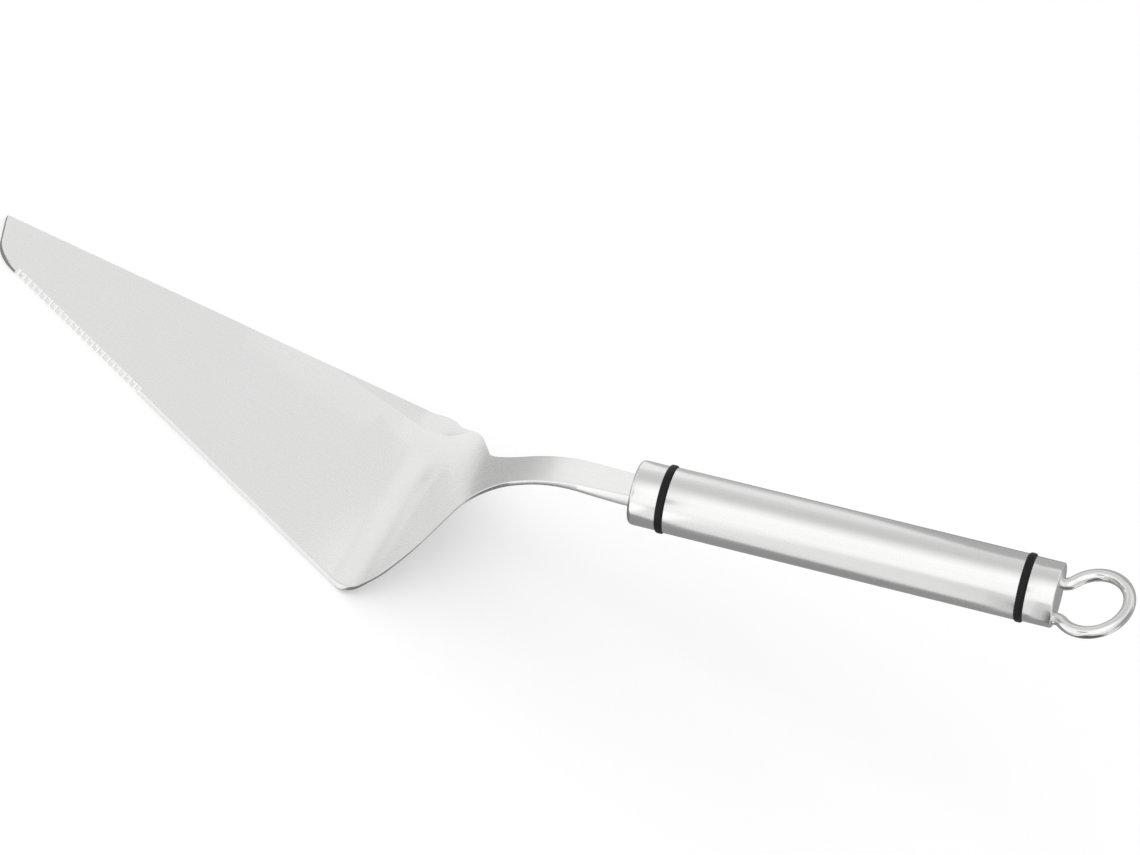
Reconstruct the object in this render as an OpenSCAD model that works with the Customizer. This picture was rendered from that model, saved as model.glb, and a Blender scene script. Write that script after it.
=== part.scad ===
// Cake server: triangular steel blade with an upswept strip neck, round tube handle,
// two sealing rings and a wire hanging loop. All sizes are in millimetres.
// The origin is on the blade's underside, on its centre line, just in front of the first bend.
// The tip points to -X, the handle rises towards +X, and the serrated edge is on -Y.

/* [Blade] */
// Length of the blade from its tip to the origin
blade_len = 110; // [90:1:140]
// Width of the blade at the origin
blade_w = 73.5; // [60:0.5:90]
// Width of the blunt tip
tip_w = 12.8; // [8:0.5:20]
// Thickness of the sheet
blade_t = 1.4; // [1:0.1:2]
// Rounding of the tip on the serrated side
tip_r = 9; // [3:0.5:10]
// Rounding of the two back corners
corner_r = 4; // [2:0.5:5]
// How far the back corners lie behind the origin
corner_back = 7.2; // [5:0.2:9]
// How far the back edge runs along the blade between a corner and the neck
back_run = 12; // [10:0.2:15]
// How far the back edge bows out from a straight line between a corner and the neck
back_bow = 2.7; // [1.5:0.1:3.5]
// Rounding of the bowed back edge
bow_r = 44; // [20:1:60]
// Rounding where the back edge turns into the neck
shoulder_r = 8; // [5:0.5:12]

/* [Serrated edge] */
// Length of the serrated stretch
serration_len = 42; // [20:1:60]
// Distance from the tip's corner to the first notch
serration_start = 6; // [5:0.5:15]
// Distance from one notch to the next
notch_pitch = 1.8; // [1.4:0.1:3]
// Depth of a notch
notch_depth = 0.4; // [0.2:0.05:0.6]
// Width of the ground bevel above the notches
bevel_w = 1; // [0.6:0.1:1.6]
// Thickness left at the cutting edge
edge_land = 0.5; // [0.3:0.1:0.8]

/* [Neck] */
// Where the first bend starts, measured from the origin
bend_start = 1.45; // [0.8:0.05:3]
// Radius of the first bend, at the middle of the sheet
bend_r = 12; // [9:0.1:14]
// Steepest angle of the neck
bend_angle = 64.7; // [55:0.1:70]
// Length of the straight rise after the first bend
rise_len = 12.6; // [8:0.1:18]
// Radius of the long bend over to the handle
neck_r = 47.3; // [35:0.1:60]
// Length of the straight neck in front of the handle
neck_straight = 11; // [6:0.1:20]
// Width of the neck behind the blade
neck_w = 11.8; // [9:0.1:13]
// Width of the neck where it enters the handle
neck_end_w = 9.4; // [8:0.1:11]
// Thickness of the neck where it enters the handle
neck_t = 3.4; // [2.4:0.1:4]
// Length over which the neck thickens, measured back from the handle
thicken_len = 25; // [15:1:30]

/* [Handle] */
// Angle between the handle and the blade
handle_tilt = 26; // [18:0.5:32]
// Outer diameter of the tube
tube_d = 16; // [14:0.5:20]
// Wall of the tube
tube_wall = 1; // [0.6:0.1:1.5]
// Length of the tube
tube_len = 85.6; // [60:0.5:120]
// Outer diameter of the two caps
cap_d = 15.7; // [13.6:0.1:19.6]
// Visible length of the front cap
front_cap_len = 7; // [5:0.5:12]
// Visible length of the end cap
end_cap_len = 7; // [6:0.5:12]
// Rounding of the front cap's rim
front_rim_r = 1.2; // [0.5:0.1:2]
// Rounding of the end cap's rim
end_rim_r = 0.6; // [0.3:0.1:1]
// Length of the part of a cap that plugs into the tube
spigot_len = 9; // [6:0.5:14]
// Width of a black sealing ring
ring_w = 1.9; // [1.4:0.1:2.6]
// How far a sealing ring stands proud of the tube
ring_proud = 0.35; // [0.1:0.05:0.6]
// Rounding of a sealing ring's outer corners
ring_round = 0.6; // [0.3:0.1:0.65]

/* [Tang] */
// Width of the tang inside the handle
tang_w = 8; // [6:0.5:8.5]
// Length of the tang behind the front of the handle
tang_len = 44; // [30:1:55]
// Length of the plug that centres the end of the tang
plug_len = 14; // [8:1:20]

/* [Hanging loop] */
// Thickness of the wire
wire_d = 3; // [2:0.1:3.4]
// Diameter of the eye at the middle of the wire
eye_d = 17.2; // [14:0.2:24]
// Distance between the two legs, from middle to middle
leg_spacing = 10.4; // [8.5:0.2:11]
// Radius of the small outward bend between a leg and the eye
leg_bend_r = 3; // [2:0.1:4]
// Length of each leg inside the end cap
leg_depth = 5; // [3:0.5:5.5]
// Length of each leg that stands straight out of the end cap before the wire leans
leg_stub = 0.3; // [0.2:0.1:1]
// How far the legs lie below the middle of the end face
loop_drop = 2.1; // [1:0.1:2.4]
// How far the loop is turned about the handle
loop_roll = 18; // [0:1:45]
// How far the eye leans upwards from the handle's axis
loop_lean = 16; // [0:1:20]

/* [Fits] */
// Clearance on each side between parts that plug together
fit_gap = 0.05; // [0.02:0.01:0.15]

/* [Hidden] */
$fn = 96;
// Overrun of every cut past the solid that it cuts
over = 1;
// Steps in the first bend, the long bend, the straight neck and a rounded corner
bend_steps = 14;
neck_steps = 22;
straight_steps = 6;
corner_steps = 10;
// Steps along the loop's wire and round it
eye_steps = 44;
leg_steps = 5;
wire_sides = 20;
// Radius of the wheel that grinds a notch, as a share of the notch pitch
notch_r = 0.6 * notch_pitch;
// Lean of the grinding wheel over a notch
notch_lean = 25;
// Where the back edge bows out most, as a share of its run, and the most of a side that a rounding may take
bow_share = 1 / 3;
round_share = 0.96;
// Run of the bevel for each millimetre of height, as a slope
bevel_slope = bevel_w / (blade_t - edge_land);

// Side view of the sheet: points at the middle of its thickness, before the neck thickens below
bend_end_x = bend_start + bend_r * sin(bend_angle);
bend_end_z = blade_t / 2 + bend_r * (1 - cos(bend_angle));
rise_end_x = bend_end_x + rise_len * cos(bend_angle);
rise_end_z = bend_end_z + rise_len * sin(bend_angle);
neck_end_x = rise_end_x + neck_r * (sin(bend_angle) - sin(handle_tilt));
neck_end_z = rise_end_z + neck_r * (cos(handle_tilt) - cos(bend_angle));
// Front face of the handle, where the middle of the thickened neck meets the handle's axis
axis_drop = (neck_t - blade_t) / 2;
handle_x = neck_end_x + neck_straight * cos(handle_tilt) + axis_drop * sin(handle_tilt);
handle_z = neck_end_z + neck_straight * sin(handle_tilt) - axis_drop * cos(handle_tilt);

// Stations along the handle, measured from its front face
front_ring_at = front_cap_len;
tube_at = front_ring_at + ring_w;
rear_ring_at = tube_at + tube_len;
end_cap_at = rear_ring_at + ring_w;
handle_len = end_cap_at + end_cap_len;
tube_r = tube_d / 2;
bore_r = tube_r - tube_wall;
spigot_r = bore_r - fit_gap;
plug_at = tang_len - plug_len / 2;

// Hanging loop: the eye's middle lies beyond the end face so that each leg's bend runs into the eye
eye_r = eye_d / 2;
leg_y = leg_spacing / 2;
eye_at = sqrt(pow(eye_r + leg_bend_r, 2) - pow(leg_y + leg_bend_r, 2));
join_angle = asin((leg_y + leg_bend_r) / (eye_r + leg_bend_r));
// Half the turn of the eye, from its far point to where a leg's bend begins
eye_turn = 180 - join_angle;
leg_turn = eye_turn - 90;

// Thickness of the sheet at a distance in front of the handle
function ease(k) = k <= 0 ? 0 : k >= 1 ? 1 : k * k * (3 - 2 * k);
function sheet_t(ahead) = blade_t + (neck_t - blade_t) * ease(1 - ahead / thicken_len);
// Length of an arc, from its radius and its angle
function arc_len(r, angle) = r * angle * PI / 180;

// A station is [x, z, angle of the sheet, thickness]
function flat_stations() = [[-blade_len - over, blade_t / 2, 0, blade_t]];
function bend_stations() = [
    for (i = [0 : bend_steps])
        let (a = bend_angle * i / bend_steps)
        [bend_start + bend_r * sin(a), blade_t / 2 + bend_r * (1 - cos(a)), a, blade_t]
];
function neck_stations() = [
    for (i = [0 : neck_steps])
        let (a = bend_angle + (handle_tilt - bend_angle) * i / neck_steps)
        [
            rise_end_x + neck_r * (sin(bend_angle) - sin(a)),
            rise_end_z + neck_r * (cos(a) - cos(bend_angle)),
            a,
            sheet_t(neck_straight + arc_len(neck_r, a - handle_tilt))
        ]
];
function straight_stations() = [
    for (i = [1 : straight_steps])
        let (d = neck_straight * i / straight_steps)
        [
            neck_end_x + d * cos(handle_tilt),
            neck_end_z + d * sin(handle_tilt),
            handle_tilt,
            sheet_t(neck_straight - d)
        ]
];
function tang_stations() = [
    [
        neck_end_x + (neck_straight + tang_len) * cos(handle_tilt),
        neck_end_z + (neck_straight + tang_len) * sin(handle_tilt),
        handle_tilt,
        neck_t
    ]
];
stations = concat(flat_stations(), bend_stations(), neck_stations(), straight_stations(), tang_stations());
// The upper face keeps its distance from the middle line and the lower face moves away with the thickness
function beside(s, out) = [s[0] - out * sin(s[2]), s[1] + out * cos(s[2])];
function upper(s) = beside(s, blade_t / 2);
function lower(s) = beside(s, blade_t / 2 - s[3]);
function backwards(list) = [for (i = [len(list) - 1 : -1 : 0]) list[i]];

// Plan view of the sheet
edge_slope = (blade_w - tip_w) / 2 / blade_len;
edge_angle = atan(edge_slope);
corner_y = blade_w / 2 + corner_back * edge_slope;
shoulder_x = corner_back + back_run;
// The blunt tip is square to the plain edge on +Y
tip_far = [-blade_len, tip_w / 2];
tip_cut = tip_w * cos(edge_angle) / cos(2 * edge_angle);
tip_near = tip_far + tip_cut * [sin(edge_angle), -cos(edge_angle)];
// The neck has its end width from the front face of the handle on, and narrows to the tang in the cap
sheet_lean = neck_t / 2 * sin(handle_tilt);
entry_x = handle_x - sheet_lean;
tang_step_x = handle_x + (front_cap_len - fit_gap) * cos(handle_tilt) - sheet_lean;
tang_end_x = handle_x + tang_len * cos(handle_tilt) + sheet_lean;

function unit(v) = v / norm(v);
function turned(v, a) = [v[0] * cos(a) - v[1] * sin(a), v[0] * sin(a) + v[1] * cos(a)];
function crossed(a, b) = a[0] * b[1] - a[1] * b[0];
// Half the angle between the two sides that meet at a corner
function half_turn(before, at, after) = acos(unit(before - at) * unit(after - at)) / 2;
function rounded(before, at, after, r) =
    let (
        u = unit(before - at),
        v = unit(after - at),
        half = half_turn(before, at, after),
        centre = at + unit(u + v) * r / sin(half),
        start = at + u * r / tan(half) - centre,
        side = crossed(u, v) > 0 ? -1 : 1
    )
    [for (i = [0 : corner_steps]) centre + turned(start, side * (180 - 2 * half) * i / corner_steps)];

// One side of the plan outline from the back corner to the end of the tang, as seen on +Y or -Y
function back_side(side, front) =
    let (
        corner = [corner_back, side * corner_y],
        shoulder = [shoulder_x, side * neck_w / 2],
        entry = [entry_x, side * neck_end_w / 2],
        run = unit(shoulder - corner),
        bow = corner + bow_share * (shoulder - corner) + back_bow * [-side * run[1], side * run[0]],
        room = round_share * norm(bow - corner) - corner_r / tan(half_turn(front, corner, bow)),
        bow_fit_r = min(bow_r, room * tan(half_turn(corner, bow, shoulder)))
    )
    concat(
        rounded(front, corner, bow, corner_r),
        rounded(corner, bow, shoulder, bow_fit_r),
        rounded(bow, shoulder, entry, shoulder_r),
        [
            entry,
            [tang_step_x, side * neck_end_w / 2],
            [tang_step_x, side * tang_w / 2],
            [tang_end_x + over, side * tang_w / 2]
        ]
    );
plan_outline = concat(
    [tip_far],
    rounded(tip_far, tip_near, [corner_back, -corner_y], tip_r),
    back_side(-1, tip_near),
    backwards(back_side(1, tip_far))
);

// Places children on the handle's axis, with +Z running along it from its front face
module on_handle(at) {
    translate([handle_x, 0, handle_z])
        rotate([0, 90 - handle_tilt, 0])
            translate([0, 0, at])
                children();
}

// Places children where the loop's legs leave the end face, with +X along the handle and +Z upwards
module on_loop() {
    on_handle(handle_len)
        rotate([0, 0, loop_roll])
            rotate([0, -90, 0])
                translate([0, 0, -loop_drop])
                    children();
}

// Places children on the serrated edge, with +X running along it and -Y pointing outwards
module on_edge(at) {
    translate([tip_near[0], tip_near[1], 0])
        rotate([0, 0, -edge_angle])
            translate([at, 0, 0])
                children();
}

module sheet() {
    intersection() {
        rotate([90, 0, 0])
            linear_extrude(height = blade_w + 2 * corner_y, center = true)
                polygon(concat(
                    [for (s = stations) lower(s)],
                    [for (s = backwards(stations)) upper(s)]
                ));
        translate([0, 0, -over])
            linear_extrude(height = handle_z + tang_len + 2 * over)
                polygon(plan_outline);
    }
}

// Ground bevel over the notches, cut from the upper face down to the edge
module bevel_cut() {
    on_edge(serration_start)
        rotate([90, 0, 90])
            linear_extrude(height = serration_len)
                polygon([
                    [-over, edge_land],
                    [0, edge_land],
                    [bevel_w + over * bevel_slope, blade_t + over],
                    [-over, blade_t + over]
                ]);
}

module notch_cuts() {
    for (at = [notch_pitch / 2 : notch_pitch : serration_len])
        on_edge(serration_start + at)
            translate([0, notch_depth - notch_r, 0])
                rotate([-notch_lean, 0, 0])
                    cylinder(r = notch_r, h = 2 * (blade_t + over), center = true);
}

module blade() {
    color("gainsboro")
        difference() {
            sheet();
            bevel_cut();
            notch_cuts();
        }
}

// Half section of a cap: a body with one rounded rim and a spigot behind it
module cap_section(body_len, rim_r) {
    body_r = cap_d / 2;
    translate([0, rim_r])
        square([body_r, body_len - rim_r]);
    square([body_r - rim_r, body_len]);
    translate([body_r - rim_r, rim_r])
        circle(r = rim_r);
    square([spigot_r, body_len + spigot_len]);
}

// Slot for the strip, with a gap all round
module strip_slot(width, depth) {
    cube([neck_t + 2 * fit_gap, width + 2 * fit_gap, depth], center = true);
}

module front_cap() {
    color("silver")
        on_handle(0)
            difference() {
                rotate_extrude()
                    cap_section(front_cap_len, front_rim_r);
                strip_slot(neck_end_w, 2 * front_cap_len);
                translate([0, 0, front_cap_len])
                    strip_slot(tang_w, 2 * (spigot_len + over));
            }
}

module sealing_ring(at) {
    outer_r = tube_r + ring_proud;
    on_handle(at)
        rotate_extrude() {
            translate([bore_r, 0])
                square([outer_r - bore_r - ring_round, ring_w]);
            translate([bore_r, ring_round])
                square([outer_r - bore_r, ring_w - 2 * ring_round]);
            for (z = [ring_round, ring_w - ring_round])
                translate([outer_r - ring_round, z])
                    circle(r = ring_round);
        }
}

module front_ring() {
    color("black")
        sealing_ring(front_ring_at);
}

module rear_ring() {
    color("black")
        sealing_ring(rear_ring_at);
}

module handle_tube() {
    color("lightgray")
        on_handle(tube_at)
            difference() {
                cylinder(r = tube_r, h = tube_len);
                translate([0, 0, -over])
                    cylinder(r = bore_r, h = tube_len + 2 * over);
            }
}

module tang_plug() {
    color("dimgray")
        on_handle(plug_at)
            difference() {
                cylinder(r = spigot_r, h = plug_len);
                strip_slot(tang_w, plug_len);
            }
}

module end_cap() {
    color("silver")
        difference() {
            on_handle(handle_len)
                mirror([0, 0, 1])
                    rotate_extrude()
                        cap_section(end_cap_len, end_rim_r);
            on_loop()
                for (side = [-1, 1])
                    translate([-leg_depth - fit_gap, side * leg_y, 0])
                        rotate([0, 90, 0])
                            cylinder(r = wire_d / 2 + fit_gap, h = leg_depth + fit_gap + over);
        }
}

// Middle line of the eye and its leg bends in the plane of the loop, as [x, y, heading]
function leg_bend(side) = [
    for (i = [0 : leg_steps])
        let (h = leg_turn * i / leg_steps)
        [leg_bend_r * sin(h), side * (leg_y + leg_bend_r * (1 - cos(h))), side * h]
];
function eye_bend() = [
    for (i = [1 : eye_steps - 1])
        let (a = eye_turn * (2 * i / eye_steps - 1))
        [eye_at + eye_r * cos(a), eye_r * sin(a), a + 90]
];
function about_face(list) = [for (p = list) [p[0], p[1], p[2] + 180]];
eye_line = concat(leg_bend(-1), eye_bend(), about_face(backwards(leg_bend(1))));

// A ring of points round the wire. The ring is tilted by the lean, and mitred where the wire kinks.
function wire_ring(x, y, z, heading, lean, mitre) = [
    for (k = [0 : wire_sides - 1])
        let (
            a = 360 * k / wire_sides,
            out = -wire_d / 2 * cos(a) * sin(heading),
            across = wire_d / 2 * cos(a) * cos(heading),
            up = wire_d / 2 * sin(a) * mitre
        )
        [x + out * cos(lean) - up * sin(lean), y + across, z + out * sin(lean) + up * cos(lean)]
];
function leg_ring(side) = wire_ring(-leg_depth, side * leg_y, 0, side > 0 ? 180 : 0, 0, 1);
function kink_ring(side) =
    wire_ring(leg_stub, side * leg_y, 0, side > 0 ? 180 : 0, loop_lean / 2, 1 / cos(loop_lean / 2));
function eye_ring(p) =
    wire_ring(leg_stub + p[0] * cos(loop_lean), p[1], p[0] * sin(loop_lean), p[2], loop_lean, 1);
wire_rings = concat(
    [leg_ring(-1), kink_ring(-1)],
    [for (i = [1 : len(eye_line) - 2]) eye_ring(eye_line[i])],
    [kink_ring(1), leg_ring(1)]
);

// Skins a list of rings and closes both ends
module skin(rings) {
    sides = len(rings[0]);
    count = len(rings);
    walls = [
        for (i = [0 : count - 2])
            for (k = [0 : sides - 1])
                let (next = (k + 1) % sides)
                [i * sides + k, (i + 1) * sides + k, (i + 1) * sides + next, i * sides + next]
    ];
    first_end = [for (k = [0 : sides - 1]) k];
    last_end = [for (k = [sides - 1 : -1 : 0]) (count - 1) * sides + k];
    polyhedron(
        points = [for (ring = rings) for (point = ring) point],
        faces = concat([first_end], walls, [last_end]),
        convexity = 4
    );
}

module hanging_loop() {
    color("whitesmoke")
        on_loop()
            skin(wire_rings);
}

blade();
front_cap();
front_ring();
handle_tube();
tang_plug();
rear_ring();
end_cap();
hanging_loop();
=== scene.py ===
# %% [markdown]
# # A steel cake server, dressed in Blender
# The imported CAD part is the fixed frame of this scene: it says where everything is and how large it is.
# Each cell below builds one piece of the real server over that frame, gives it a finish, and prints what
# it made. Lengths are written in millimetres, as on a drawing, and become metres when a mesh is made.

import math

import bmesh
import bpy
import numpy as np
from mathutils import Matrix, Vector


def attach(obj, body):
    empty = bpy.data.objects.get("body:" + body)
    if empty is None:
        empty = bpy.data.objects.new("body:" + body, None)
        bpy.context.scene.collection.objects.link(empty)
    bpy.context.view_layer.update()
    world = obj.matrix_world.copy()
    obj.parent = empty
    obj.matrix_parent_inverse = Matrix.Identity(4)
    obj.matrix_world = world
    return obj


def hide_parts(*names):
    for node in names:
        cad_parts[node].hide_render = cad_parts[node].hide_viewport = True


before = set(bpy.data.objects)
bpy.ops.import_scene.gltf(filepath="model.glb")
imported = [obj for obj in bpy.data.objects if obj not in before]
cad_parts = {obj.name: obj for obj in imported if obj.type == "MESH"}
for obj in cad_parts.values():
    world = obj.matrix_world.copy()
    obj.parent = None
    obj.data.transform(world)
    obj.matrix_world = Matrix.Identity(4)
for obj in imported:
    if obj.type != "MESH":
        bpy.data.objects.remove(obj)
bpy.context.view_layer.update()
MM = 0.001
print("CAD nodes:", ", ".join(sorted(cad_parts)))

# %% [markdown]
# ## The sizes
# The same sizes as in the part's drawing. Keeping them by name, and not as loose numbers, lets every
# piece below be worked out from the one that carries it, just as the CAD does.

# %% sizes of the blade and its neck
blade_len, blade_w, tip_w, blade_t = 110.0, 73.5, 12.8, 1.4
tip_r, corner_r, corner_back, back_run, shoulder_r = 9.0, 4.0, 7.2, 12.0, 8.0
back_bow, bow_r, bow_share, bow_room = 2.7, 44.0, 1 / 3, 0.96
serration_len, serration_start, notch_pitch, notch_depth = 42.0, 6.0, 1.8, 0.4
bevel_w, edge_land = 1.0, 0.5
bend_start, bend_r, bend_angle, rise_len = 1.45, 12.0, 64.7, 12.6
neck_r, neck_straight, neck_w, neck_end_w, neck_t, thicken_len = 47.3, 11.0, 11.8, 9.4, 3.4, 25.0
print("blade:", blade_len, "mm long and", blade_t, "mm thick; neck at the handle:", neck_t, "mm thick")

# %% sizes of the handle and the loop
handle_tilt, tube_d, tube_wall, tube_len = 26.0, 16.0, 1.0, 85.6
cap_d, front_cap_len, end_cap_len, front_rim_r, end_rim_r, spigot_len = 15.7, 7.0, 7.0, 1.2, 0.6, 9.0
ring_w, ring_proud, ring_round, tang_w, tang_len = 1.9, 0.35, 0.6, 8.0, 44.0
wire_d, eye_d, leg_spacing, leg_bend_r, leg_depth, leg_stub = 3.0, 17.2, 10.4, 3.0, 5.0, 0.3
loop_drop, loop_roll, loop_lean, fit_gap = 2.1, 18.0, 16.0, 0.05
print("tube:", tube_d, "mm across; wire of the loop:", wire_d, "mm")

# %% [markdown]
# ## Where the handle lies
# The handle is turned and straight, so it is easiest to build it standing up, along Z, and then to lay
# it along its tilted axis with one matrix. The matrix comes from the neck: the sheet bends up, rises,
# bends back, and the handle starts where that path ends. The stations along the path lie closest near
# the tip, where the outline turns fastest.

# %% the path of the sheet, seen from the side
sin, cos, rad = math.sin, math.cos, math.radians
steep, shallow = rad(bend_angle), rad(handle_tilt)
bend_end = (bend_start + bend_r * sin(steep), blade_t / 2 + bend_r * (1 - cos(steep)))
rise_end = (bend_end[0] + rise_len * cos(steep), bend_end[1] + rise_len * sin(steep))
neck_end = (
    rise_end[0] + neck_r * (sin(steep) - sin(shallow)),
    rise_end[1] + neck_r * (cos(shallow) - cos(steep)),
)
axis_drop = (neck_t - blade_t) / 2
handle_x = neck_end[0] + neck_straight * cos(shallow) + axis_drop * sin(shallow)
handle_z = neck_end[1] + neck_straight * sin(shallow) - axis_drop * cos(shallow)


def ease(k):
    """A soft step: 0 below 0, 1 above 1, and smooth between them."""
    k = min(1, max(0, k))
    return k * k * (3 - 2 * k)


def station(kind, k):
    """The sheet's middle at share k of a stretch: x, z, angle and thickness, in mm and radians."""
    if kind == "flat":
        return (-blade_len + k * (blade_len + bend_start), blade_t / 2, 0, blade_t)
    if kind == "bend":
        a = steep * k
        return (bend_start + bend_r * sin(a), blade_t / 2 + bend_r * (1 - cos(a)), a, blade_t)
    if kind == "rise":
        d = k * rise_len
        return (bend_end[0] + d * cos(steep), bend_end[1] + d * sin(steep), steep, blade_t)
    if kind == "over":
        a = steep + (shallow - steep) * k
        ahead = neck_straight + neck_r * (a - shallow)
        at = (rise_end[0] + neck_r * (sin(steep) - sin(a)), rise_end[1] + neck_r * (cos(a) - cos(steep)))
    else:
        d = k * (neck_straight + tang_len)
        a, ahead = shallow, neck_straight - d
        at = (neck_end[0] + d * cos(shallow), neck_end[1] + d * sin(shallow))
    return (*at, a, blade_t + (neck_t - blade_t) * ease(1 - ahead / thicken_len))


tip_gap, tip_zone = 0.0002, 0.1
stations = [station("flat", k) for k in np.linspace(tip_gap, tip_zone, 60)]
stations += [station("flat", k) for k in np.linspace(tip_zone, 1, 170)[1:]]
for kind, steps in (("bend", 60), ("rise", 80), ("over", 60), ("straight", 70)):
    stations += [station(kind, k) for k in np.linspace(0, 1, steps + 1)[1:]]
print("stations along the sheet:", len(stations))
print("the handle starts at x", round(handle_x, 2), "and z", round(handle_z, 2), "mm")


# %% the matrices that lay pieces along the handle and along the loop
def turned(degrees, axis):
    return Matrix.Rotation(rad(degrees), 4, axis)


def raised(z):
    """A move along Z, given in millimetres."""
    return Matrix.Translation((0, 0, z * MM))


ON_HANDLE = Matrix.Translation(Vector((handle_x, 0, handle_z)) * MM) @ turned(90 - handle_tilt, "Y")
front_ring_at = front_cap_len
tube_at = front_ring_at + ring_w
rear_ring_at = tube_at + tube_len
end_cap_at = rear_ring_at + ring_w
handle_len = end_cap_at + end_cap_len
bore_r = tube_d / 2 - tube_wall
spigot_r = bore_r - fit_gap
ON_LOOP = ON_HANDLE @ raised(handle_len) @ turned(loop_roll, "Z") @ turned(-90, "Y") @ raised(-loop_drop)
end_face = ON_HANDLE @ Vector((0, 0, handle_len * MM))
print("handle length:", round(handle_len, 1), "mm; end face centre:", [round(x / MM, 1) for x in end_face])

# %% [markdown]
# ## The outline of the blade
# Seen from above the blade is a long triangle with a blunt tip. One front corner is sharp, the one on
# the serrated side is rounded, and the back corners run in a soft curve into the neck. The outline is a
# few corner points, each rounded with an arc, and then read as two half widths for every x.

# %% the corner points
edge_slope = (blade_w - tip_w) / 2 / blade_len
edge_angle = math.atan(edge_slope)
corner_y = blade_w / 2 + corner_back * edge_slope
shoulder_x = corner_back + back_run
tip_far = np.array((-blade_len, tip_w / 2))
tip_cut = tip_w * cos(edge_angle) / cos(2 * edge_angle)
tip_near = tip_far + tip_cut * np.array((sin(edge_angle), -cos(edge_angle)))
sheet_lean = neck_t / 2 * sin(shallow)
entry_x = handle_x - sheet_lean
tang_step_x = handle_x + (front_cap_len - fit_gap) * cos(shallow) - sheet_lean
print("each long edge leans", round(math.degrees(edge_angle), 1), "degrees from the middle line")


# %% rounded corners
def half_turn(before, at, after):
    """Half of the angle between the two sides that meet at a corner."""
    u, v = np.subtract(before, at), np.subtract(after, at)
    return math.acos(float(u @ v) / np.linalg.norm(u) / np.linalg.norm(v)) / 2


def rounded(before, at, after, r, steps=24):
    """Points of an arc of radius r that rounds the corner at."""
    before, at, after = (np.array(p, float) for p in (before, at, after))
    u, v = before - at, after - at
    u, v = u / np.linalg.norm(u), v / np.linalg.norm(v)
    half = half_turn(before, at, after)
    middle = (u + v) / np.linalg.norm(u + v)
    centre = at + middle * r / sin(half)
    x, y = at + u * r / math.tan(half) - centre
    turn = (-1 if u[0] * v[1] - u[1] * v[0] > 0 else 1) * (math.pi - 2 * half)
    angles = np.linspace(0, turn, steps)
    return [centre + np.array((x * cos(a) - y * sin(a), x * sin(a) + y * cos(a))) for a in angles]


def back_of(side, front):
    """The line from a back corner over the bow and the shoulder to where the neck enters the handle."""
    corner = np.array((corner_back, side * corner_y))
    shoulder = np.array((shoulder_x, side * neck_w / 2))
    entry = np.array((entry_x, side * neck_end_w / 2))
    run = (shoulder - corner) / np.linalg.norm(shoulder - corner)
    bow = corner + bow_share * (shoulder - corner) + back_bow * side * np.array((-run[1], run[0]))
    room = bow_room * np.linalg.norm(bow - corner) - corner_r / math.tan(half_turn(front, corner, bow))
    bow_fit_r = min(bow_r, room * math.tan(half_turn(corner, bow, shoulder)))
    line = rounded(front, corner, bow, corner_r) + rounded(corner, bow, shoulder, bow_fit_r)
    return line + rounded(bow, shoulder, entry, shoulder_r) + [entry]


print("a square corner's half turn:", round(half_turn((1, 0), (0, 0), (0, 1)), 3), "radians")

# %% the two sides of the sheet at any x
near_line = [tip_far] + rounded(tip_far, tip_near, (corner_back, -corner_y), tip_r) + back_of(-1, tip_near)
far_line = [tip_far] + back_of(1, tip_far)
near_line, far_line = np.array(near_line), np.array(far_line)


def sides_at(x):
    if x > tang_step_x:
        return -tang_w / 2, tang_w / 2
    return tuple(float(np.interp(x, line[:, 0], line[:, 1])) for line in (near_line, far_line))


print("outline points:", len(near_line), "and", len(far_line))
print("widest:", round(2 * far_line[:, 1].max(), 1), "mm")

# %% [markdown]
# ## Small helpers
# A mesh made from lists of points, a way to turn a live object into a plain mesh, and one call that
# gives a finished piece its place in the frame. Doubles are merged and normals made to point outwards
# as soon as a mesh is closed. The helpers for node trees come after them.

# %% mesh helpers
MERGE = 2e-7


def mesh_object(name, points, faces, edges=()):
    mesh = bpy.data.meshes.new(name)
    mesh.from_pydata([tuple(p) for p in points], list(edges), faces)
    obj = bpy.data.objects.new(name, mesh)
    bpy.context.scene.collection.objects.link(obj)
    return obj


def outward(mesh):
    """Merges points that lie closer than MERGE metres, and points all faces outwards."""
    bm = bmesh.new()
    bm.from_mesh(mesh)
    bmesh.ops.remove_doubles(bm, verts=bm.verts, dist=MERGE)
    bmesh.ops.recalc_face_normals(bm, faces=bm.faces)
    bm.to_mesh(mesh)
    bm.free()


def freeze(obj):
    """Replaces an object's live modifiers with the plain mesh that they make."""
    graph = bpy.context.evaluated_depsgraph_get()
    plain = bpy.data.meshes.new_from_object(obj.evaluated_get(graph))
    obj.modifiers.clear()
    obj.data = plain


def finish_piece(obj, material, node, sharp=32):
    mesh = obj.data
    mesh.materials.clear()
    mesh.materials.append(material)
    mesh.shade_smooth()
    mesh.set_sharp_from_angle(angle=rad(sharp))
    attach(obj, "root")
    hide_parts(node)
    print(f"{obj.name}: {len(mesh.vertices)} points, {len(mesh.polygons)} faces")


# %% helpers for any node tree
def add(tree, kind, inputs=None, **props):
    """Adds a node. inputs maps a socket's name or place to a value or to another node's output."""
    made = tree.nodes.new(kind)
    for key, value in props.items():
        setattr(made, key, value)
    for key, value in (inputs or {}).items():
        socket = made.inputs[key]
        if isinstance(value, bpy.types.NodeSocket):
            tree.links.new(value, socket)
        else:
            socket.default_value = value
    return made


def maths(tree, operation, *values):
    return add(tree, "ShaderNodeMath", dict(enumerate(values)), operation=operation).outputs[0]


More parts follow.
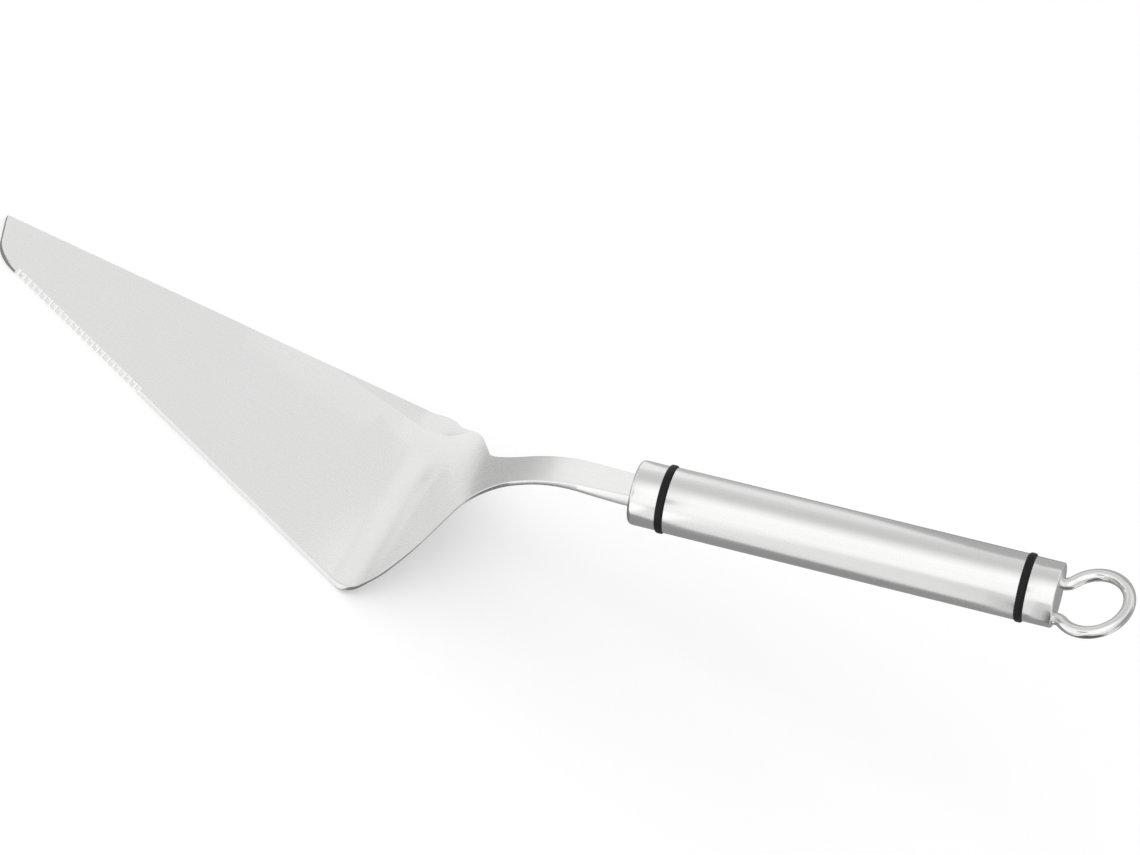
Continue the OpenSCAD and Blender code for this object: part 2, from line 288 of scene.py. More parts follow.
def ramp(tree, value, start, end, at_start, at_end, shape="LINEAR"):
    """Maps a value that runs from start to end onto the range from at_start to at_end."""
    ends = {"Value": value, "From Min": start, "From Max": end, "To Min": at_start, "To Max": at_end}
    return add(tree, "ShaderNodeMapRange", ends, interpolation_type=shape).outputs["Result"]


# %% helpers for Geometry Nodes
FLOAT, VECTOR, COUNT = "NodeSocketFloat", "NodeSocketVector", "NodeSocketInt"
MATERIAL = "NodeSocketMaterial"


def geometry_tree(name, sizes):
    """A tree and its named inputs. sizes maps an input's name to (socket type, value)."""
    tree = bpy.data.node_groups.new(name, "GeometryNodeTree")
    tree.interface.new_socket("Geometry", in_out="INPUT", socket_type="NodeSocketGeometry")
    for label, (kind, value) in sizes.items():
        socket = tree.interface.new_socket(label, in_out="INPUT", socket_type=kind)
        if value is not None:
            socket.default_value = value
    tree.interface.new_socket("Geometry", in_out="OUTPUT", socket_type="NodeSocketGeometry")
    return tree, tree.nodes.new("NodeGroupInput").outputs


def vector(tree, **axes):
    return add(tree, "ShaderNodeCombineXYZ", axes).outputs[0]


def moved(tree, geometry, translation, rotation=(0, 0, 0)):
    inputs = {"Geometry": geometry, "Translation": translation, "Rotation": rotation}
    return add(tree, "GeometryNodeTransform", inputs).outputs[0]


def end_tree(tree, geometry, finish):
    """Every tree ends alike: instances become a real mesh, and the mesh gets its finish."""
    real = add(tree, "GeometryNodeRealizeInstances", {0: geometry})
    dressed = add(tree, "GeometryNodeSetMaterial", {"Geometry": real.outputs[0], "Material": finish})
    tree.links.new(dressed.outputs[0], tree.nodes.new("NodeGroupOutput").inputs[0])
    print(f"{tree.name}: {len(tree.nodes)} nodes")


def run_tree(obj, tree, values):
    """Runs a tree on an object. Each input is set by its identifier, then the result is frozen."""
    modifier = obj.modifiers.new(tree.name, "NODES")
    modifier.node_group = tree
    for item in tree.interface.items_tree:
        if item.in_out == "INPUT" and item.name in values:
            modifier[item.identifier] = values[item.name]
    freeze(obj)


# %% [markdown]
# ## The steel
# The whole server is stainless steel, but no two parts are finished alike: the sheet is rolled and
# lightly satin, the tube is brushed along its length, the caps are turned and the loop is polished.
# One helper makes them all. A noise that is stretched along the grain drives both the roughness and a
# very shallow bump, and a slow noise shades the colour by a per cent or two, as real sheet does.

# %% helpers for every finish
def new_finish(name):
    material = bpy.data.materials.new(name)
    material.use_nodes = True
    return material, material.node_tree, material.node_tree.nodes["Principled BSDF"]


def shaded(tree, shader, cloud, colour, share):
    """Lets the colour drift up and down by a share of itself."""
    drift = add(tree, "ShaderNodeMix", {"Factor": cloud}, data_type="RGBA")
    drift.inputs["A"].default_value = (*[c * (1 - share) for c in colour], 1)
    drift.inputs["B"].default_value = (*[min(1, c * (1 + share)) for c in colour], 1)
    tree.links.new(drift.outputs["Result"], shader.inputs["Base Color"])


def grained(tree, shader, noise, reach, rough, spread, depth, height):
    """One noise drives the roughness, over its reach, and a bump that is height metres tall."""
    tree.links.new(ramp(tree, noise, *reach, rough - spread, rough + spread), shader.inputs["Roughness"])
    bump = add(tree, "ShaderNodeBump", {"Height": noise, "Strength": depth, "Distance": height})
    tree.links.new(bump.outputs["Normal"], shader.inputs["Normal"])


# %% the four finishes of steel
def steel(name, colour, rough, grain=(1, 1, 1), tilt=0, depth=0.05, spread=0.06, scale=1000):
    """grain is how far the pattern is squeezed along x, y and z; tilt turns it about y, in degrees."""
    material, tree, shader = new_finish(name)
    shader.inputs["Metallic"].default_value = 1.0
    where = add(tree, "ShaderNodeTexCoord").outputs["Object"]
    laid = add(tree, "ShaderNodeMapping", {"Vector": where, "Rotation": (0, rad(tilt), 0)})
    squeezed = add(tree, "ShaderNodeMapping", {"Vector": laid.outputs["Vector"], "Scale": grain})
    pattern = {"Vector": squeezed.outputs["Vector"], "Scale": scale, "Detail": 5.0, "Roughness": 0.62}
    lines = add(tree, "ShaderNodeTexNoise", pattern).outputs["Fac"]
    cloud = add(tree, "ShaderNodeTexNoise", {"Vector": where, "Scale": 60.0, "Detail": 2.0}).outputs["Fac"]
    shaded(tree, shader, cloud, colour, 0.015)
    grained(tree, shader, lines, (0.3, 0.7), rough, spread, depth, 0.00003)
    return material


sheet_grey, handle_grey, loop_grey = (0.865, 0.865, 0.86), (0.84, 0.84, 0.835), (0.85, 0.85, 0.845)
satin_sheet = steel("satin_sheet", sheet_grey, 0.27, grain=(0.04, 1, 0.04), depth=0.015, spread=0.03)
brushed_tube = steel("brushed_tube", handle_grey, 0.25, grain=(0.03, 1, 1), tilt=handle_tilt, depth=0.2)
turned_cap = steel("turned_cap", handle_grey, 0.2, grain=(1, 0.25, 0.25), tilt=handle_tilt, depth=0.12)
polished_wire = steel("polished_wire", loop_grey, 0.06, depth=0.02, spread=0.02, scale=400)
print("finishes of steel:", [m.name for m in (satin_sheet, brushed_tube, turned_cap, polished_wire)])

# %% [markdown]
# ## Rubber and plastic
# The two rings are black rubber, dull with a faint shine, and the hidden plug is grey moulded plastic.
# Neither has a direction, so one fine, even noise gives them their grit and shades their colour.


# %% the two dull finishes
def dull(name, colour, rough, scale, depth, shine):
    material, tree, shader = new_finish(name)
    shader.inputs["Specular IOR Level"].default_value = shine
    where = add(tree, "ShaderNodeTexCoord").outputs["Object"]
    grit = add(tree, "ShaderNodeTexNoise", {"Vector": where, "Scale": scale, "Detail": 4.0}).outputs["Fac"]
    shaded(tree, shader, grit, colour, 0.3)
    grained(tree, shader, grit, (0, 1), rough, 0.08, depth, 0.00004)
    return material


black_rubber = dull("black_rubber", (0.008, 0.008, 0.0085), 0.45, 2500, 0.3, 0.2)
plug_plastic = dull("plug_plastic", (0.2, 0.2, 0.21), 0.55, 1800, 0.25, 0.5)
print("dull finishes:", black_rubber.name, plug_plastic.name)

# %% [markdown]
# ## The blade
# The real blade is stamped from one sheet and bent, so it is built the same way: a cross-section runs
# along the side path, and at every station its width is read from the outline. Each cross-section is a
# closed loop with its four long edges slightly broken, because a stamped and tumbled edge is never
# quite sharp and catches a thin line of light. Past the bend the two lower edges are worn much rounder,
# and show as a thin dark line under the neck.

# %% the cross-section of the sheet
edge_break, edge_bulge = 0.16, 0.29
low_wear, wear_run, wear_inward, wear_limit = 1.0, 8, 0.4, 0.34
across = 0.5 - 0.5 * np.cos(np.linspace(0, math.pi, 15))


def off_middle(s, out):
    """The point that lies out millimetres above the sheet's middle line at a station."""
    x, z, a, _ = s
    return x - out * sin(a), z + out * cos(a)


def section(s):
    """One closed loop round the sheet at a station, in millimetres."""
    thick = s[3]
    loop = []
    for out, inward in ((blade_t / 2, -1), (blade_t / 2 - thick, 1)):
        x, z = off_middle(s, out)
        near, far = sides_at(x)
        worn = low_wear * ease((x - bend_end[0]) / wear_run) if inward > 0 else 0
        tall = min(edge_break + worn, wear_limit * thick)
        # wider than a quarter, the broken edges would cross each other at the blunt tip
        wide = min(edge_break + wear_inward * worn, (far - near) / 4)
        xi, zi = off_middle(s, out + inward * tall * edge_bulge)
        xs, zs = off_middle(s, out + inward * tall)
        row = [(xs, near, zs), (xi, near + edge_bulge * wide, zi)]
        row += [(x, near + wide + (far - near - 2 * wide) * c, z) for c in across]
        row += [(xi, far - edge_bulge * wide, zi), (xs, far, zs)]
        loop += row[::-inward]
    return loop


print("points round one cross-section:", len(section(stations[0])))

# %% loft the sheet
loops = [section(s) for s in stations]
size, last = len(loops[0]), len(loops) - 1
faces = [
    (i * size + k, i * size + (k + 1) % size, (i + 1) * size + (k + 1) % size, (i + 1) * size + k)
    for i in range(last)
    for k in range(size)
]
faces += [tuple(range(size)), tuple(last * size + k for k in reversed(range(size)))]
blade = mesh_object("blade_sheet", [Vector(p) * MM for loop in loops for p in loop], faces)
outward(blade.data)
print("sheet:", len(blade.data.vertices), "points before the edge is ground")

# %% [markdown]
# ## The serrated edge
# The notches are ground by a small wheel that steps along the edge, under a narrow bevel. Geometry
# Nodes repeats the same move: a line of points along the edge, a wheel on each point, and one boolean
# that takes them all out of the sheet.

# %% the grinding tree: a row of wheels
grind, given = geometry_tree(
    "grind_edge",
    {
        "Length": (FLOAT, 0.04),
        "Pitch": (FLOAT, 0.003),
        "Wheel radius": (FLOAT, 0.002),
        "Notch depth": (FLOAT, 0.0005),
        "Wheel lean": (FLOAT, 0.4),
        "Bevel angle": (FLOAT, 0.7),
        "Edge height": (FLOAT, 0.0005),
        "Edge start": (VECTOR, None),
        "Edge turn": (FLOAT, 0.0),
        "Finish": (MATERIAL, None),
    },
)
wheel_width = 0.006
count = maths(grind, "DIVIDE", given["Length"], given["Pitch"])
half_pitch = maths(grind, "MULTIPLY", given["Pitch"], 0.5)
wheel_y = maths(grind, "SUBTRACT", given["Notch depth"], given["Wheel radius"])
first, step = vector(grind, X=half_pitch, Y=wheel_y), vector(grind, X=given["Pitch"])
places = {"Count": count, "Start Location": first, "Offset": step}
row = add(grind, "GeometryNodeMeshLine", places, mode="OFFSET").outputs["Mesh"]
wheel_sizes = {"Vertices": 40, "Radius": given["Wheel radius"], "Depth": wheel_width}
wheel = add(grind, "GeometryNodeMeshCylinder", wheel_sizes).outputs["Mesh"]
lean = vector(grind, X=maths(grind, "MULTIPLY", given["Wheel lean"], -1.0))
on_points = {"Points": row, "Instance": wheel, "Rotation": lean}
wheels = add(grind, "GeometryNodeInstanceOnPoints", on_points).outputs[0]
print("grinding tree: a wheel on each point of a line")

# %% the grinding tree: the bevel stone and the cut
stone_width, stone_height = 0.008, 0.004
stone_size = vector(grind, X=given["Length"], Y=stone_width, Z=stone_height)
stone = add(grind, "GeometryNodeMeshCube", {"Size": stone_size}).outputs["Mesh"]
half_len = maths(grind, "MULTIPLY", given["Length"], 0.5)
stone = moved(grind, stone, vector(grind, X=half_len, Z=stone_height / 2))
stone = moved(grind, stone, vector(grind, Z=given["Edge height"]), vector(grind, X=given["Bevel angle"]))
tools = add(grind, "GeometryNodeJoinGeometry")
for tool in (stone, wheels):
    grind.links.new(tool, tools.inputs[0])
tools = moved(grind, tools.outputs[0], given["Edge start"], vector(grind, Z=given["Edge turn"]))
real_tools = add(grind, "GeometryNodeRealizeInstances", {0: tools}).outputs[0]
cut = add(
    grind,
    "GeometryNodeMeshBoolean",
    {"Mesh 1": given["Geometry"], "Mesh 2": real_tools, "Self Intersection": True},
    operation="DIFFERENCE",
    solver="EXACT",
)
end_tree(grind, cut.outputs["Mesh"], given["Finish"])

# %% grind the edge
wheel_share, wheel_lean = 0.6, 25
edge_from = tip_near + serration_start * np.array((cos(edge_angle), -sin(edge_angle)))
run_tree(
    blade,
    grind,
    {
        "Length": serration_len * MM,
        "Pitch": notch_pitch * MM,
        "Wheel radius": wheel_share * notch_pitch * MM,
        "Notch depth": notch_depth * MM,
        "Wheel lean": rad(wheel_lean),
        "Bevel angle": math.atan((blade_t - edge_land) / bevel_w),
        "Edge height": edge_land * MM,
        "Edge start": [edge_from[0] * MM, edge_from[1] * MM, 0],
        "Edge turn": -edge_angle,
        "Finish": satin_sheet,
    },
)
finish_piece(blade, satin_sheet, "blade", sharp=24)

# %% [markdown]
# ## Turned parts of the handle
# The tube and the two caps are turned, so each is a half section swept round the axis. Every outer
# corner of the section is rounded, because those small radii are what catches the light on the real
# handle. The neck's slot and the holes for the loop are then cut out of the caps, as they are in a
# workshop.


# %% a lathe
def arc(centre, r, start, end, steps):
    """Points along a circle between two angles, in degrees."""
    angles = [rad(a) for a in np.linspace(start, end, steps)]
    return [(centre[0] + r * cos(a), centre[1] + r * sin(a)) for a in angles]


def turn_on_lathe(name, outline, closed, segments=144):
    """outline holds (along, radius) pairs: closed, it makes a ring; open, it runs from axis to axis."""
    count = len(outline)
    points, faces = [], []
    for k in range(segments):
        a = 2 * math.pi * k / segments
        points += [Vector((r * cos(a), r * sin(a), z)) * MM for z, r in outline]
    for k in range(segments):
        n = (k + 1) % segments
        for i in range(count if closed else count - 1):
            j = (i + 1) % count
            faces.append((k * count + i, k * count + j, n * count + j, n * count + i))
    obj = mesh_object(name, points, faces)
    outward(obj.data)
    return obj


# %% a milling cutter and a drill
def box_cutter(name, size, middle_z):
    x, y, z = (s / 2 for s in size)
    signs = [(i, j, k) for i in (-1, 1) for j in (-1, 1) for k in (-1, 1)]
    corners = [Vector((i * x, j * y, middle_z + k * z)) * MM for i, j, k in signs]
    sides = [(0, 1, 3, 2), (4, 6, 7, 5), (0, 4, 5, 1), (2, 3, 7, 6), (0, 2, 6, 4), (1, 5, 7, 3)]
    return mesh_object(name, corners, sides)


def drill(piece, cutters):
    """Takes each cutter out of the piece and removes the cutter."""
    for cutter in cutters:
        modifier = piece.modifiers.new("drill", "BOOLEAN")
        modifier.operation, modifier.solver, modifier.object = "DIFFERENCE", "EXACT", cutter
        freeze(piece)
        bpy.data.objects.remove(cutter)


# %% the tube
lip, tube_r, tube_rows = 0.15, tube_d / 2, 12
tube_line = (
    [(lip, bore_r), (0, bore_r + lip), (0, tube_r - lip)]
    + arc((lip, tube_r - lip), lip, 180, 90, 4)
    + [(tube_len * k / tube_rows, tube_r) for k in range(1, tube_rows)]
    + arc((tube_len - lip, tube_r - lip), lip, 90, 0, 4)
    + [(tube_len, bore_r + lip), (tube_len - lip, bore_r)]
)
tube = turn_on_lathe("handle_tube_brushed", tube_line, closed=True)
tube.data.transform(ON_HANDLE @ raised(tube_at))
finish_piece(tube, brushed_tube, "handle_tube")


# %% the front cap and its slot
def cap_line(body_len, rim_r):
    """Half section of a cap from its outer face to the end of its spigot."""
    r, back_r, lead_in = cap_d / 2, 0.12, 0.4
    tail = body_len + spigot_len
    return (
        [(0, 0), (0, 0.5 * r)]
        + arc((rim_r, r - rim_r), rim_r, 180, 90, 10)
        + [(body_len * 0.5, r)]
        + arc((body_len - back_r, r - back_r), back_r, 90, 0, 4)
        + [(body_len, spigot_r), (tail - lead_in, spigot_r), (tail, spigot_r - lead_in), (tail, 0)]
    )


front_cap = turn_on_lathe("front_cap_turned", cap_line(front_cap_len, front_rim_r), closed=False)
slot_t, overrun = neck_t + 2 * fit_gap, 1
mouth_size = (slot_t, neck_end_w + 2 * fit_gap, 2 * front_cap_len)
throat_size = (slot_t, tang_w + 2 * fit_gap, 2 * (spigot_len + overrun))
mouth = box_cutter("slot_mouth", mouth_size, 0)
throat = box_cutter("slot_throat", throat_size, front_cap_len)
drill(front_cap, [mouth, throat])
front_cap.data.transform(ON_HANDLE)
finish_piece(front_cap, turned_cap, "front_cap")

# %% the end cap and its two holes
end_cap = turn_on_lathe("end_cap_turned", cap_line(end_cap_len, end_rim_r), closed=False)
end_cap.data.transform(ON_HANDLE @ raised(handle_len) @ Matrix.Scale(-1, 4, (0, 0, 1)))
outward(end_cap.data)
hole_depth, hole_r = leg_depth + fit_gap, wire_d / 2 + fit_gap
hole_line = [(-hole_depth, 0), (-hole_depth, hole_r), (overrun, hole_r), (overrun, 0)]
holes = []
for side in (-1, 1):
    hole = turn_on_lathe(f"leg_hole_{side}", hole_line, closed=False, segments=48)
    beside = Matrix.Translation((0, side * leg_spacing / 2 * MM, 0))
    hole.data.transform(ON_LOOP @ beside @ turned(90, "Y"))
    outward(hole.data)
    holes.append(hole)
drill(end_cap, holes)
finish_piece(end_cap, turned_cap, "end_cap")

# %% [markdown]
# ## The black rings
# A ring is a rounded band swept round a circle, which is a rule and not a sculpture, so Geometry Nodes
# makes it: a rectangle with filleted corners is swept along a circle, and both rings come from the
# same tree.

# %% the ring tree
band, given = geometry_tree(
    "rubber_band",
    {
        "Middle radius": (FLOAT, 0.008),
        "Band width": (FLOAT, 0.002),
        "Band depth": (FLOAT, 0.001),
        "Corner": (FLOAT, 0.0003),
        "Finish": (MATERIAL, None),
    },
)
circle = {"Resolution": 144, "Radius": given["Middle radius"]}
path = add(band, "GeometryNodeCurvePrimitiveCircle", circle, mode="RADIUS").outputs[0]
sides = {"Width": given["Band depth"], "Height": given["Band width"]}
outline = add(band, "GeometryNodeCurvePrimitiveQuadrilateral", sides, mode="RECTANGLE").outputs[0]
rounding = {"Curve": outline, "Count": 7, "Radius": given["Corner"], "Limit Radius": True}
profile = add(band, "GeometryNodeFilletCurve", rounding, mode="POLY").outputs[0]
swept = add(band, "GeometryNodeCurveToMesh", {"Curve": path, "Profile Curve": profile}).outputs[0]
end_tree(band, swept, given["Finish"])

# %% both rings
ring_outer = tube_d / 2 + ring_proud
for name, node, at in (
    ("front_ring_rubber", "front_ring", front_ring_at),
    ("rear_ring_rubber", "rear_ring", rear_ring_at),
):
    made = mesh_object(name, [(0, 0, 0)], [])
    run_tree(
        made,
        band,
        {
            "Middle radius": (ring_outer + bore_r) / 2 * MM,
            "Band width": ring_w * MM,
            "Band depth": (ring_outer - bore_r) * MM,
            "Corner": ring_round * MM,
            "Finish": black_rubber,
        },
    )
    made.data.transform(ON_HANDLE @ raised(at + ring_w / 2))
    outward(made.data)
    finish_piece(made, black_rubber, node, sharp=60)

# %% [markdown]
# ## The hanging loop
# The loop is a polished wire that is bent once. Its middle line follows a rule: two legs, a small bend
# outwards on each, and an eye. Geometry Nodes sweeps a round wire along that line. The wire leans up a
# little as it leaves the handle, and its legs run straight into the two holes of the end cap.

# %% the middle line of the wire
eye_r, leg_y, lean_up = eye_d / 2, leg_spacing / 2, rad(loop_lean)
eye_at = math.sqrt((eye_r + leg_bend_r) ** 2 - (leg_y + leg_bend_r) ** 2)
eye_turn = math.pi - math.asin((leg_y + leg_bend_r) / (eye_r + leg_bend_r))
leg_turns = np.linspace(0, eye_turn - math.pi / 2, 12)
eye_turns = np.linspace(-eye_turn, eye_turn, 110)[1:-1]
leg_line = [(leg_bend_r * sin(a), leg_y + leg_bend_r * (1 - cos(a))) for a in leg_turns]
eye_line = [(eye_at + eye_r * cos(a), eye_r * sin(a)) for a in eye_turns]
flat_line = [(x, -y) for x, y in leg_line] + eye_line + leg_line[::-1]
wire_line = [Vector((leg_stub + x * cos(lean_up), y, x * sin(lean_up))) for x, y in flat_line]
legs = [Vector((x, -leg_y, 0)) for x in (-leg_depth, -0.6 * leg_depth, -0.2 * leg_depth, 0)]
wire_line = legs + wire_line + [Vector((p.x, leg_y, 0)) for p in reversed(legs)]
wire_len = sum((b - a).length for a, b in zip(wire_line, wire_line[1:]))
print("wire:", len(wire_line), "points,", round(wire_len, 1), "mm long")

# %% the wire tree
wire, given = geometry_tree(
    "bent_wire",
    {"Wire radius": (FLOAT, 0.0015), "Sides": (COUNT, 40), "Finish": (MATERIAL, None)},
)
path = add(wire, "GeometryNodeMeshToCurve", {"Mesh": given["Geometry"]}).outputs[0]
circle = {"Resolution": given["Sides"], "Radius": given["Wire radius"]}
profile = add(wire, "GeometryNodeCurvePrimitiveCircle", circle, mode="RADIUS").outputs[0]
sweep = {"Curve": path, "Profile Curve": profile, "Fill Caps": True}
end_tree(wire, add(wire, "GeometryNodeCurveToMesh", sweep).outputs[0], given["Finish"])

# %% bend the wire
links = [(i, i + 1) for i in range(len(wire_line) - 1)]
loop = mesh_object("hanging_loop_wire", [p * MM for p in wire_line], [], links)
run_tree(loop, wire, {"Wire radius": wire_d / 2 * MM, "Sides": 40, "Finish": polished_wire})
loop.data.transform(ON_LOOP)
outward(loop.data)
finish_piece(loop, polished_wire, "hanging_loop", sharp=50)

# %% [markdown]
# ## The plug inside the tube
# Nobody sees the plug that centres the tang, so its CAD solid is good enough as it is. It only needs a
# plastic finish, so that it is right when somebody takes the handle apart.

# %% the plug keeps its CAD solid
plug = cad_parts["tang_plug"]
plug.data.materials.clear()
plug.data.materials.append(plug_plastic)
print("plug:", len(plug.data.polygons), "faces, kept from the CAD")

# %% [markdown]
# ## The camera
# The photograph was taken from in front and above with a long lens, rolled so that the server lies
# across the picture. The three directions were found by fitting the server's contours.

# %% the camera at the photograph's view
right = Vector((0.82015, 0.294005, 0.49083)).normalized()
up = Vector((-0.567689, 0.525051, 0.634075))
up = (up - up.dot(right) * right).normalized()
back = right.cross(up)
camera_at = Matrix.Translation((-0.05573, -0.94318, 0.75539))
camera = bpy.data.objects.new("photo_camera", bpy.data.cameras.new("photo_camera"))
camera.matrix_world = camera_at @ Matrix((right, up, back)).transposed().to_4x4()
camera.data.sensor_width, camera.data.lens = 36.0, 157.92
camera.data.clip_start, camera.data.clip_end = 0.05, 30
bpy.context.scene.collection.objects.link(camera)
bpy.context.scene.camera = camera
print("camera at", [round(x, 4) for x in camera.matrix_world.translation])

# %% [markdown]
# ## The studio
# Steel shows what is round it, so the studio matters more than the lamps. The world is a soft white
# tent with a few wide, soft patches that are brighter or darker, and a dark band low behind the
# server. The floor is pale and keeps the shadow. A photographer lays cards round bright steel, so cards
# that only reflections can see lie and stand here too. The dark ones draw the bands on the neck, under
# the handle and on the loop. The pale ones keep the bend of the blade and the side of the neck white.

# %% the floor
floor_reach, floor_grey, floor_glow = 4, 0.82, 0.22
floor_corners = [(x * floor_reach, y * floor_reach, 0) for x, y in ((-1, -1), (1, -1), (1, 1), (-1, 1))]
floor = mesh_object("floor", floor_corners, [(0, 1, 2, 3)])
floor_paint = bpy.data.materials.new("floor_paint")
floor_paint.use_nodes = True
tree = floor_paint.node_tree
tree.nodes.clear()
chalk = add(tree, "ShaderNodeBsdfDiffuse", {"Color": (floor_grey, floor_grey, floor_grey, 1)}).outputs[0]
rays = add(tree, "ShaderNodeLightPath").outputs
seen = maths(tree, "MAXIMUM", rays["Is Camera Ray"], rays["Is Glossy Ray"])
seen = maths(tree, "MAXIMUM", seen, rays["Is Transmission Ray"])
glow = add(tree, "ShaderNodeEmission", {"Strength": maths(tree, "MULTIPLY", seen, floor_glow)}).outputs[0]
above = add(tree, "ShaderNodeAddShader", {0: chalk, 1: glow}).outputs[0]
below = add(tree, "ShaderNodeBsdfTransparent").outputs[0]
underside = add(tree, "ShaderNodeNewGeometry").outputs["Backfacing"]
pick = add(tree, "ShaderNodeMixShader", {0: underside, 1: above, 2: below}).outputs[0]
add(tree, "ShaderNodeOutputMaterial", {"Surface": pick})
floor.data.materials.append(floor_paint)
print("floor:", 2 * floor_reach, "m square, clear from below so that the underside can be looked at")


# %% how a reflection card is made
def card(name, corners, shade):
    """A flat card that only reflections see. corners are points in millimetres."""
    obj = mesh_object(name, [Vector(p) * MM for p in corners], [tuple(range(len(corners)))])
    paint = bpy.data.materials.new(name)
    paint.use_nodes = True
    paint.node_tree.nodes.clear()
    light = {"Color": (shade, shade, shade, 1), "Strength": 1.0}
    glow = add(paint.node_tree, "ShaderNodeEmission", light).outputs[0]
    add(paint.node_tree, "ShaderNodeOutputMaterial", {"Surface": glow})
    obj.data.materials.append(paint)
    obj.visible_camera = obj.visible_diffuse = obj.visible_shadow = obj.visible_transmission = False
    print(f"{name}: {len(corners)} corners, shade {shade}")
    return obj


def lying(*corners, lift=0.2):
    return [(x, y, lift) for x, y in corners]


def lying_box(low, high, lift=0.2):
    return lying(low, (high[0], low[1]), high, (low[0], high[1]), lift=lift)


def standing(y, *corners):
    return [(x, y, z) for x, z in corners]


# %% the outlines of the cards that aren't plain boxes
WIDE, DEEP = 1500, 2500
neck_front = ((14, -42), (24, -30), (34, -34), (47, -42), (54, -42))
under_neck = lying((-5, -30), (2, -33), (5, -38), *neck_front, (54, 44), (-5, 44))
in_front_of_neck = lying((8, -200), (60, -200), *reversed(neck_front), (8, -46), lift=0.4)
behind_neck = standing(40, (2, 46), (40, 46), (40, 90), (2, 90))
end_edge = ((167, -28), (156, -110), (103, -457), (-50, -WIDE))
in_front_of_end = lying(*end_edge, (WIDE, -WIDE), (WIDE, -28), lift=0.6)
behind_end = standing(80, (78, 80), (250, 80), (250, 175), (70, 175))
print("the dark and the bright card at the neck meet along", len(neck_front), "points")

# %% lay and stand the cards
for name, corners, shade in (
    ("card_behind_blade", lying_box((-WIDE, 40), (60, DEEP)), 0.5),
    ("card_behind_handle", lying_box((60, 44), (WIDE, DEEP)), 0.33),
    ("card_in_front", lying_box((48, -DEEP), (WIDE, -45)), 0.88),
    ("card_in_front_of_blade", lying_box((-WIDE, -DEEP), (48, -90)), 1.05),
    ("card_under_tip", lying_box((-114, -10), (-100, 12)), 0.25),
    ("card_under_neck", under_neck, 0.2),
    ("card_in_front_of_neck", in_front_of_neck, 1.25),
    ("card_behind_neck", behind_neck, 0.98),
    ("card_in_front_of_end", in_front_of_end, 0.68),
    ("card_below_loop", lying_box((154, -75), (215, -10), lift=60), 0.12),
    ("card_behind_end", behind_end, 0.45),
    ("card_under_handle", lying_box((54, -45), (260, 44)), 0.3),
):
    card(name, corners, shade)

# %% the white strips behind the bend of the blade
strip_line = ((-45, 0.5), (20, 0.5), (20, 17.2), (6.2, 11.2), (-7.8, 5.1), (-9, 12), (-45, 12))
strip_left, strip_right, shade_left, shade_right = -5, 9, 0.86, 0.92
strip = card("white_strip", standing(30, *strip_line), shade_left)
paint = strip.data.materials[0].node_tree
place = add(paint, "ShaderNodeSeparateXYZ", {0: add(paint, "ShaderNodeTexCoord").outputs["Object"]})
brighter = ramp(paint, place.outputs["X"], strip_left * MM, strip_right * MM, shade_left, shade_right)
paint.links.new(brighter, paint.nodes["Emission"].inputs["Color"])
card("white_strip_end", standing(40, (1.5, 0.5), (12, 0.5), (12, 16), (1.5, 16)), 0.9)
print("white_strip: shade", shade_left, "on the left to", shade_right, "on the right")

# %% the white tent
world = bpy.data.worlds.new("white_tent")
bpy.context.scene.world = world
world.use_nodes = True
tree = world.node_tree
tree.nodes.clear()
where = add(tree, "ShaderNodeTexCoord").outputs["Generated"]
horizon_height, horizon_near, horizon_full = 0.4, 0.2, 0.6


def patch_towards(direction, width, amount):
    """A soft patch of light: amount at its middle, nothing beyond width degrees from it."""
    towards = {0: where, 1: Vector(direction).normalized()}
    facing = add(tree, "ShaderNodeVectorMath", towards, operation="DOT_PRODUCT").outputs["Value"]
    return ramp(tree, facing, cos(rad(width)), 1.0, 0.0, amount, "SMOOTHSTEP")


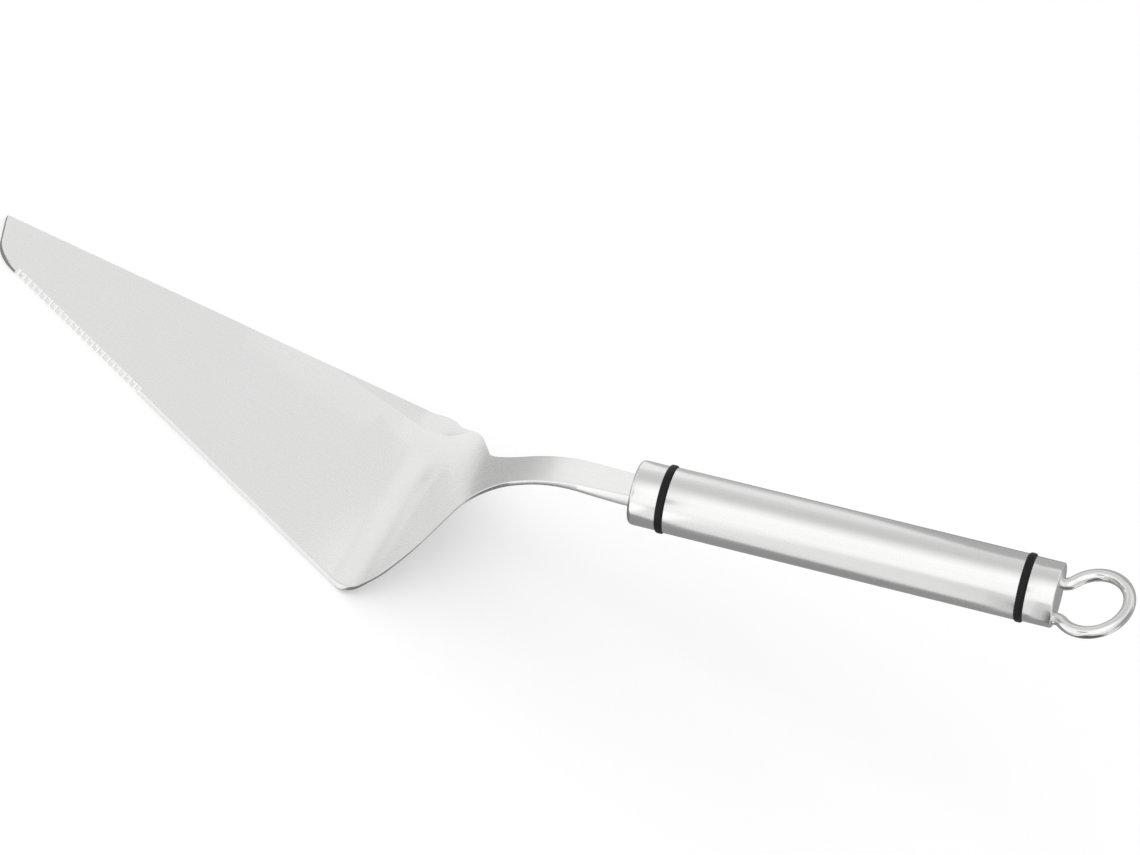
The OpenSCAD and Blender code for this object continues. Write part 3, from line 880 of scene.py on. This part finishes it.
def dark_horizon(amount):
    """A dark band low on the far side of the studio, where the tent's wall ends."""
    part = add(tree, "ShaderNodeSeparateXYZ", {0: where}).outputs
    low = ramp(tree, maths(tree, "ABSOLUTE", part["Z"]), 0.0, horizon_height, amount, 0.0, "SMOOTHSTEP")
    behind = ramp(tree, part["Y"], horizon_near, horizon_full, 0.0, 1.0, "SMOOTHSTEP")
    return maths(tree, "MULTIPLY", low, behind)


def white_light(strength):
    return add(tree, "ShaderNodeBackground", {"Color": (1, 1, 1, 1), "Strength": strength}).outputs[0]


print("the dark band reaches", round(math.degrees(math.asin(horizon_height))), "degrees up")

# %% the light of the tent
level, fill, backdrop = 0.87, 0.9, 1.0
total = level
for direction, width, amount in (
    ((-0.4, -0.85, 0.35), 62, 0.28),
    ((-0.62, 0.0, 0.78), 50, -0.2),
    ((-0.45, 0.78, 0.42), 34, 0.05),
    ((-0.3, -0.5, 0.81), 28, 0.14),
    ((0.3, 0.75, 0.59), 30, -0.07),
    ((-0.64, -0.75, 0.17), 14, -0.75),
    ((0.88, 0.0, 0.45), 45, -0.55),
):
    total = maths(tree, "ADD", total, patch_towards(direction, width, amount))
total = maths(tree, "ADD", total, dark_horizon(-0.4))
rays = add(tree, "ShaderNodeLightPath").outputs
lit = {0: rays["Is Glossy Ray"], 1: white_light(fill), 2: white_light(total)}
seen = maths(tree, "MAXIMUM", rays["Is Camera Ray"], rays["Is Transmission Ray"])
shown = {0: seen, 1: add(tree, "ShaderNodeMixShader", lit).outputs[0], 2: white_light(backdrop)}
add(tree, "ShaderNodeOutputWorld", {"Surface": add(tree, "ShaderNodeMixShader", shown).outputs[0]})
print("world: soft white tent, level", level)

# %% one soft lamp for the shadow's direction
lamp_at = Vector((-0.55, -0.75, 1.15))
lamp = bpy.data.objects.new("soft_lamp", bpy.data.lights.new("soft_lamp", "AREA"))
lamp.data.shape, lamp.data.size, lamp.data.energy = "DISK", 0.9, 2.5
lamp.matrix_world = Matrix.Translation(lamp_at) @ lamp_at.to_track_quat("Z", "Y").to_matrix().to_4x4()
lamp.visible_glossy = False
bpy.context.scene.collection.objects.link(lamp)
bpy.context.scene.view_settings.view_transform = "Standard"
print("lamp:", round(lamp.data.size, 2), "m disc,", lamp.data.energy, "W")
